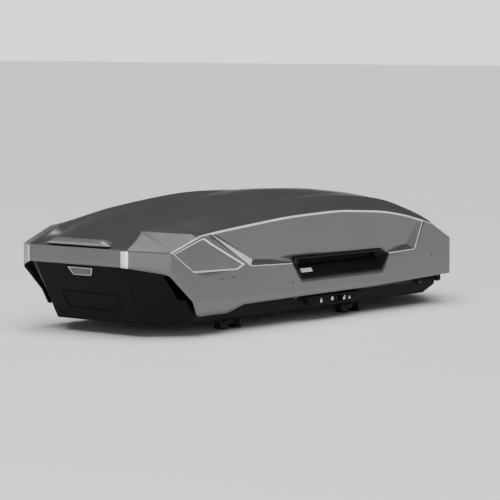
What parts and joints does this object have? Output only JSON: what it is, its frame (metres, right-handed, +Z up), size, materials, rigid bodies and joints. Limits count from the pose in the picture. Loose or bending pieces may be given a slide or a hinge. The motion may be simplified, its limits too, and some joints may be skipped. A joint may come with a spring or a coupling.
{
  "type": "roof cargo box",
  "caption": "Faceted grey lid over a black tub that clamps to roof crossbars and opens from either long side.",
  "frame": {"origin": "centre of the outline, at the lowest point of the clamp jaws", "axes": "+X towards the car's nose, +Y to the car's left, +Z up"},
  "size_m": [1.9, 0.7064, 0.451],
  "materials": {
    "lid_grey": "satin metallic",
    "spoiler_grey": "satin metallic",
    "black_plastic": "matte, fine grained",
    "satin_black": "satin",
    "label_white": "matte",
    "felt": "felt",
    "webbing": "woven",
    "rubber": "matte",
    "badge_silver": "satin",
    "black_paint": "satin",
    "bright_steel": "bright",
    "zinc_steel": "zinc plated"
  },
  "bodies": {
    "tub": {"badge_plate": "badge_silver", "base_shell": "black_plastic", "buckle_front": "satin_black", "buckle_rear": "satin_black", "clamp_plates": "black_plastic", "clamp_saddle_fl": "black_plastic", "clamp_saddle_fr": "black_plastic", "clamp_saddle_rl": "black_plastic", "clamp_saddle_rr": "black_plastic", "crossbar_pads": "rubber", "floor_mat": "felt", "floor_rail_left": "zinc_steel", "floor_rail_right": "zinc_steel", "lock_housing_left": "black_plastic", "lock_housing_right": "black_plastic", "rail_rivets": "bright_steel", "strap_front": "webbing", "strap_rear": "webbing", "strut_floor_brackets": "zinc_steel", "tub_pivots": "black_paint"},
    "lid": {"lid_shell": "lid_grey", "lid_rail_left": "zinc_steel", "lid_rail_right": "zinc_steel", "latch_pins_left": "black_paint", "latch_pins_right": "black_paint", "lid_pivots": "black_paint", "strut_roof_brackets": "zinc_steel", "handle_insert_left": "satin_black", "handle_insert_right": "satin_black", "handle_plate_left": "label_white", "handle_plate_right": "label_white", "skirt_rivets": "bright_steel", "tail_spoiler": "spoiler_grey"},
    "lift_bows": {"lift_bow_rear": "black_paint", "lift_bow_front": "black_paint"},
    "struts_a_tubes": {"strut_tubes_a": "black_paint"},
    "struts_a_rods": {"strut_rods_a": "bright_steel"},
    "struts_b_tubes": {"strut_tubes_b": "black_paint"},
    "struts_b_rods": {"strut_rods_b": "bright_steel"},
    "slider_left": {"lock_slider_left": "satin_black"},
    "key_left": {"key_cylinder_left": "bright_steel"},
    "latch_left": {"latch_bar_left": "black_paint"},
    "slider_right": {"lock_slider_right": "satin_black"},
    "key_right": {"key_cylinder_right": "bright_steel"},
    "latch_right": {"latch_bar_right": "black_paint"},
    "knob_rr": {"clamp_knob_rr": "satin_black"},
    "jaw_rr_rear": {"jaw_rr_rear": "black_paint"},
    "jaw_rr_front": {"jaw_rr_front": "black_paint"},
    "knob_rl": {"clamp_knob_rl": "satin_black"},
    "jaw_rl_rear": {"jaw_rl_rear": "black_paint"},
    "jaw_rl_front": {"jaw_rl_front": "black_paint"},
    "knob_fr": {"clamp_knob_fr": "satin_black"},
    "jaw_fr_rear": {"jaw_fr_rear": "black_paint"},
    "jaw_fr_front": {"jaw_fr_front": "black_paint"},
    "knob_fl": {"clamp_knob_fl": "satin_black"},
    "jaw_fl_rear": {"jaw_fl_rear": "black_paint"},
    "jaw_fl_front": {"jaw_fl_front": "black_paint"}
  },
  "joints": [
    {"name": "open_right_side", "type": "hinge", "parent": "tub", "child": "lift_bows", "pos_m": [0, 0.33, 0.098], "axis": [-1, 0, 0], "range_deg": [0, 45]},
    {"name": "open_left_side", "type": "hinge", "parent": "lift_bows", "child": "lid", "pos_m": [0, -0.33, 0.098], "axis": [1, 0, 0], "range_deg": [0, 45]},
    {"name": "struts_a_swing", "type": "hinge", "parent": "tub", "child": "struts_a_tubes", "pos_m": [0, 0.25, 0.073], "axis": [1, 0, 0], "range_deg": [-52.01, 0]},
    {"name": "struts_a_extend", "type": "slide", "parent": "struts_a_tubes", "child": "struts_a_rods", "axis": [0, -0.9879, 0.1552], "range_m": [0, 0.05148]},
    {"name": "struts_b_swing", "type": "hinge", "parent": "lift_bows", "child": "struts_b_tubes", "pos_m": [0, -0.25, 0.123], "axis": [1, 0, 0], "range_deg": [0, 53.34]},
    {"name": "struts_b_extend", "type": "slide", "parent": "struts_b_tubes", "child": "struts_b_rods", "axis": [0, 0.8526, 0.5226], "range_m": [0, 0.04241]},
    {"name": "lock_slide_left", "type": "slide", "parent": "tub", "child": "slider_left", "axis": [1, 0, 0], "range_m": [0, 0.026]},
    {"name": "key_turn_left", "type": "hinge", "parent": "slider_left", "child": "key_left", "pos_m": [0.032, 0.33, 0.077], "axis": [0, 1, 0], "range_deg": [0, 90]},
    {"name": "latch_slide_left", "type": "slide", "parent": "tub", "child": "latch_left", "axis": [1, 0, 0], "range_m": [0, 0.027]},
    {"name": "lock_slide_right", "type": "slide", "parent": "tub", "child": "slider_right", "axis": [1, 0, 0], "range_m": [0, 0.026]},
    {"name": "key_turn_right", "type": "hinge", "parent": "slider_right", "child": "key_right", "pos_m": [0.032, -0.33, 0.077], "axis": [0, -1, 0], "range_deg": [0, 90]},
    {"name": "latch_slide_right", "type": "slide", "parent": "tub", "child": "latch_right", "axis": [1, 0, 0], "range_m": [0, 0.027]},
    {"name": "knob_turn_rr", "type": "hinge", "parent": "tub", "child": "knob_rr", "pos_m": [-0.4, -0.21, 0.068], "axis": [0, 0, 1], "range_deg": [0, 270]},
    {"name": "jaw_swing_rr_rear", "type": "hinge", "parent": "tub", "child": "jaw_rr_rear", "pos_m": [-0.448, -0.21, 0.04], "axis": [0, 1, 0], "range_deg": [0, 24.5]},
    {"name": "jaw_swing_rr_front", "type": "hinge", "parent": "tub", "child": "jaw_rr_front", "pos_m": [-0.352, -0.21, 0.04], "axis": [0, -1, 0], "range_deg": [0, 24.5]},
    {"name": "knob_turn_rl", "type": "hinge", "parent": "tub", "child": "knob_rl", "pos_m": [-0.4, 0.21, 0.068], "axis": [0, 0, 1], "range_deg": [0, 270]},
    {"name": "jaw_swing_rl_rear", "type": "hinge", "parent": "tub", "child": "jaw_rl_rear", "pos_m": [-0.448, 0.21, 0.04], "axis": [0, 1, 0], "range_deg": [0, 24.5]},
    {"name": "jaw_swing_rl_front", "type": "hinge", "parent": "tub", "child": "jaw_rl_front", "pos_m": [-0.352, 0.21, 0.04], "axis": [0, -1, 0], "range_deg": [0, 24.5]},
    {"name": "knob_turn_fr", "type": "hinge", "parent": "tub", "child": "knob_fr", "pos_m": [0.29, -0.21, 0.068], "axis": [0, 0, 1], "range_deg": [0, 270]},
    {"name": "jaw_swing_fr_rear", "type": "hinge", "parent": "tub", "child": "jaw_fr_rear", "pos_m": [0.242, -0.21, 0.04], "axis": [0, 1, 0], "range_deg": [0, 24.5]},
    {"name": "jaw_swing_fr_front", "type": "hinge", "parent": "tub", "child": "jaw_fr_front", "pos_m": [0.338, -0.21, 0.04], "axis": [0, -1, 0], "range_deg": [0, 24.5]},
    {"name": "knob_turn_fl", "type": "hinge", "parent": "tub", "child": "knob_fl", "pos_m": [0.29, 0.21, 0.068], "axis": [0, 0, 1], "range_deg": [0, 270]},
    {"name": "jaw_swing_fl_rear", "type": "hinge", "parent": "tub", "child": "jaw_fl_rear", "pos_m": [0.242, 0.21, 0.04], "axis": [0, 1, 0], "range_deg": [0, 24.5]},
    {"name": "jaw_swing_fl_front", "type": "hinge", "parent": "tub", "child": "jaw_fl_front", "pos_m": [0.338, 0.21, 0.04], "axis": [0, -1, 0], "range_deg": [0, 24.5]}
  ],
  "couplings": [
    {"joint": "struts_a_swing", "follows": "open_right_side", "ratio": -1.1332},
    {"joint": "struts_a_extend", "follows": "open_right_side", "m_per_rad": 0.064259},
    {"joint": "struts_b_swing", "follows": "open_left_side", "ratio": 1.1622},
    {"joint": "struts_b_extend", "follows": "open_left_side", "m_per_rad": 0.052935},
    {"joint": "latch_slide_left", "follows": "lock_slide_left", "ratio": 1},
    {"joint": "latch_slide_right", "follows": "lock_slide_right", "ratio": 1},
    {"joint": "jaw_swing_rr_rear", "follows": "knob_turn_rr", "ratio": 0.08889},
    {"joint": "jaw_swing_rr_front", "follows": "knob_turn_rr", "ratio": 0.08889},
    {"joint": "jaw_swing_rl_rear", "follows": "knob_turn_rl", "ratio": 0.08889},
    {"joint": "jaw_swing_rl_front", "follows": "knob_turn_rl", "ratio": 0.08889},
    {"joint": "jaw_swing_fr_rear", "follows": "knob_turn_fr", "ratio": 0.08889},
    {"joint": "jaw_swing_fr_front", "follows": "knob_turn_fr", "ratio": 0.08889},
    {"joint": "jaw_swing_fl_rear", "follows": "knob_turn_fl", "ratio": 0.08889},
    {"joint": "jaw_swing_fl_front", "follows": "knob_turn_fl", "ratio": 0.08889}
  ]
}
